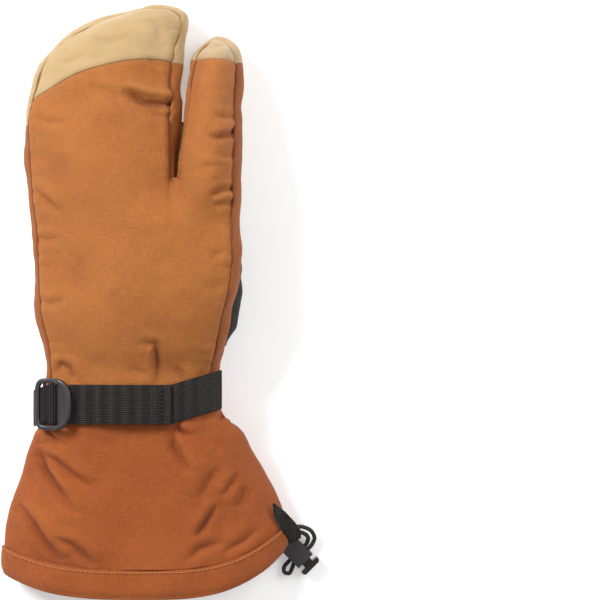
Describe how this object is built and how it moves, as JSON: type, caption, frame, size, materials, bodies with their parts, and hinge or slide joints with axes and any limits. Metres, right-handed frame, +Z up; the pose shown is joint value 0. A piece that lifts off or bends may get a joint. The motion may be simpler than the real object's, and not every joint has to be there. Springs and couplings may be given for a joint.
{
  "type": "lobster claw mitt",
  "caption": "Padded work or winter mitt with one compartment for the index finger, one for the other fingers, a thumb, a wrist strap and a gauntlet with a draw cord.",
  "frame": {"origin": "on the floor under the middle of the mitt's box", "axes": "+Y from the cuff towards the fingertips, +X towards the thumb side, +Z up from the palm through the back of the hand"},
  "size_m": [0.1904, 0.354, 0.0614],
  "materials": {
    "shell_cloth": "woven cotton duck",
    "tan_leather": "suede split leather",
    "black_cloth": "knitted fleece",
    "webbing": "ribbed webbing",
    "black_plastic": "moulded",
    "elastic_cord": "braided elastic"
  },
  "bodies": {
    "mitt": {"hand_back": "shell_cloth", "fingers_cap": "tan_leather", "index_cap": "tan_leather", "gusset_outer": "shell_cloth", "gusset_tip": "tan_leather", "fourchette_fingers": "shell_cloth", "fourchette_index": "shell_cloth", "gusset_index_tip": "tan_leather", "gusset_thumb_side": "shell_cloth", "palm_leather": "tan_leather", "index_palm": "tan_leather", "index_patch": "tan_leather", "thumb_back": "black_cloth", "thumb_leather": "tan_leather", "wrist_gather": "shell_cloth", "cuff_back": "shell_cloth", "cuff_palm": "shell_cloth", "cuff_hem": "shell_cloth", "wrist_strap": "webbing", "buckle_loop": "webbing", "ladder_buckle": "black_plastic", "lock_tab": "webbing", "cord_lock": "black_plastic", "draw_cord": "elastic_cord", "clip_loop": "webbing", "glove_clip": "black_plastic"},
    "lock_button": {"cord_lock_button": "black_plastic"}
  },
  "joints": [
    {"name": "lock_press", "type": "slide", "parent": "mitt", "child": "lock_button", "axis": [-0.7071, 0.7071, 0], "range_m": [0, 0.0025], "stiffness_N_per_m": 1200}
  ]
}
